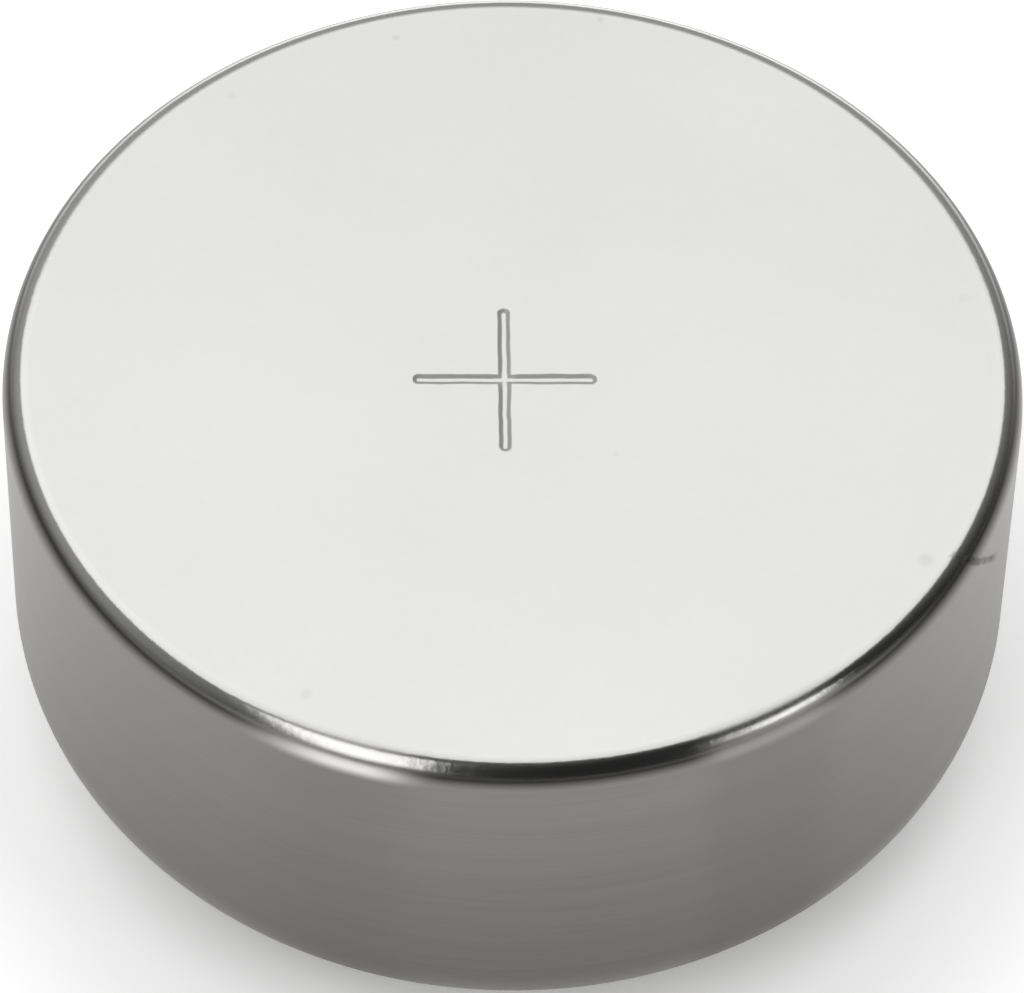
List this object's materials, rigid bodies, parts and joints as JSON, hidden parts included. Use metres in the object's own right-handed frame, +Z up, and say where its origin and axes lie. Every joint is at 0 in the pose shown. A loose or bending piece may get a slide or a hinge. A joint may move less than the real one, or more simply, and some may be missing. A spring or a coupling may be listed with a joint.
{
  "type": "alkaline button cell",
  "caption": "Round sealed alkaline button cell: nickel-plated positive can crimped over a nylon gasket and a negative cap, with pellet, separators and gel inside.",
  "frame": {"origin": "centre of the negative cap's contact face, on the surface that the cell stands on", "axes": "+Z up along the cell's axis and out of the positive contact face; the strokes of the plus mark run along X and Y; -Y is the side that the usual view shows"},
  "size_m": [0.0116, 0.0116, 0.0054],
  "materials": {
    "nickel_can": "bright nickel plating: the face satin, the wall drawn with fine lines round it, the edge polished",
    "nickel_cap": "bright nickel-clad steel sheet, its contact face lightly scuffed",
    "nylon": "natural nylon, satin",
    "cathode_mix": "pressed black powder with a slight graphite sheen",
    "plain_steel": "pressed steel, dull nickel plating",
    "barrier_film": "thin wet cellulose film",
    "nonwoven": "matted short fibres, damp",
    "zinc_gel": "grey zinc grains in clear gel, wet"
  },
  "bodies": {
    "root": {"can": "nickel_can", "negative_cap": "nickel_cap", "gasket": "nylon", "cathode_pellet": "cathode_mix", "support_ring": "plain_steel", "barrier_separator": "barrier_film", "absorbent_separator": "nonwoven", "anode_gel": "zinc_gel"}
  },
  "joints": []
}
